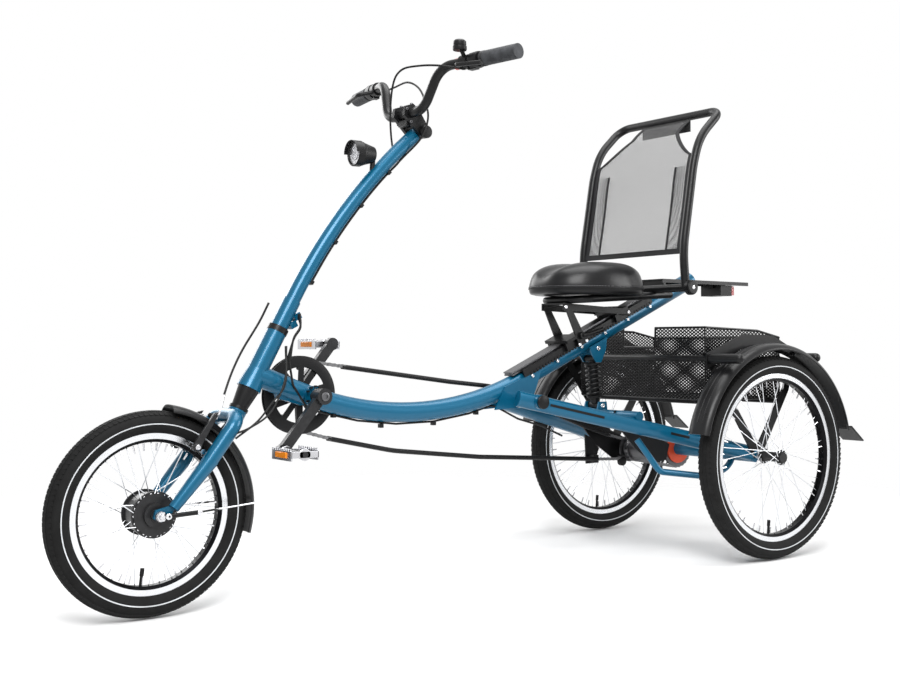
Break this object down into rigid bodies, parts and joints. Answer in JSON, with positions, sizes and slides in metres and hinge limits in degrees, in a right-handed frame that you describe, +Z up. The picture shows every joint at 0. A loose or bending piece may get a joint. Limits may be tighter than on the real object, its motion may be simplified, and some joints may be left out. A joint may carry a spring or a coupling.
{
  "type": "electric seated tricycle",
  "caption": "Seated tricycle with a low curved frame, front hub motor, mesh backrest seat, rear basket, suspension and swept handlebar.",
  "frame": {"origin": "On the ground, under the middle of the overall box", "axes": "+X forward to the front wheel, +Y to the rider's left, +Z up"},
  "size_m": [1.9934, 0.7918, 1.192],
  "materials": {
    "blue_paint": "gloss",
    "black_paint": "satin",
    "black_plastic": "satin",
    "tyre_rubber": "matte",
    "rim_metal": "brushed",
    "hub_black": "satin",
    "steel": "brushed",
    "grip_rubber": "matte",
    "pedal_body": "brushed",
    "saddle_skin": "gloss",
    "mesh_fabric": "woven",
    "red_lens": "gloss",
    "clear_lens": "clear",
    "red_paint": "gloss"
  },
  "bodies": {
    "frame": {"axle_sprocket": "steel", "backrest_frame": "black_paint", "backrest_mesh": "mesh_fabric", "basket": "black_paint", "cables": "black_plastic", "chain_idler": "black_plastic", "chain_tube_lower": "black_plastic", "chain_tube_upper": "black_plastic", "drive_chain": "steel", "fender_bar": "black_paint", "gear_hub": "steel", "gear_plates": "black_paint", "headset": "black_paint", "main_frame": "blue_paint", "pivot_caps": "black_plastic", "rack_plate": "black_paint", "rail_channel": "black_paint", "rear_axle": "steel", "rear_carrier": "black_paint", "rear_fender_left": "black_plastic", "rear_fender_right": "black_plastic", "saddle": "saddle_skin", "seat_bracket": "black_paint", "seat_frame": "black_paint", "seat_rail": "rim_metal", "shock": "black_paint", "sprocket_spider": "red_paint", "steer_cables": "black_plastic", "swingarm": "blue_paint", "tail_lens": "red_lens", "tail_light": "black_plastic"},
    "front_wheel": {"front_tyre": "tyre_rubber", "front_rim": "rim_metal", "front_hub": "hub_black"},
    "rear_wheel_left": {"rear_left_tyre": "tyre_rubber", "rear_left_rim": "rim_metal", "rear_left_hub": "hub_black"},
    "rear_wheel_right": {"rear_right_tyre": "tyre_rubber", "rear_right_rim": "rim_metal", "rear_right_hub": "hub_black"},
    "steering": {"fork": "blue_paint", "front_axle": "steel", "column": "blue_paint", "stem": "black_paint", "handlebar": "black_paint", "grips": "grip_rubber", "brake_levers": "black_plastic", "bell": "black_plastic", "headlight": "black_plastic", "headlight_lens": "clear_lens", "front_fender": "black_plastic", "front_brake": "hub_black", "fender_stay": "black_paint", "bar_cables": "black_plastic"},
    "crank": {"crankset": "hub_black", "chainring": "black_plastic"},
    "left_pedal": {"pedal_left": "pedal_body"},
    "right_pedal": {"pedal_right": "pedal_body"}
  },
  "joints": [
    {"name": "steering", "type": "hinge", "parent": "frame", "child": "steering", "pos_m": [0.61025, 0, 0.399], "axis": [-0.4664, 0, 0.8846], "range_deg": [-50, 50], "deforming": ["steer_cables"]},
    {"name": "front_wheel_spin", "type": "hinge", "parent": "steering", "child": "front_wheel", "pos_m": [0.79425, 0, 0.2025], "axis": [0, 1, 0], "continuous": true},
    {"name": "rear_left_spin", "type": "hinge", "parent": "frame", "child": "rear_wheel_left", "pos_m": [-0.67075, 0.324, 0.253], "axis": [0, 1, 0], "continuous": true},
    {"name": "rear_right_spin", "type": "hinge", "parent": "frame", "child": "rear_wheel_right", "pos_m": [-0.67075, -0.324, 0.253], "axis": [0, 1, 0], "continuous": true},
    {"name": "crank_turn", "type": "hinge", "parent": "frame", "child": "crank", "pos_m": [0.45125, 0, 0.424], "axis": [0, 1, 0], "continuous": true},
    {"name": "left_pedal_turn", "type": "hinge", "parent": "crank", "child": "left_pedal", "pos_m": [0.54061, 0.12, 0.31365], "axis": [0, 1, 0], "continuous": true},
    {"name": "right_pedal_turn", "type": "hinge", "parent": "crank", "child": "right_pedal", "pos_m": [0.36189, -0.12, 0.53436], "axis": [0, 1, 0], "continuous": true}
  ]
}
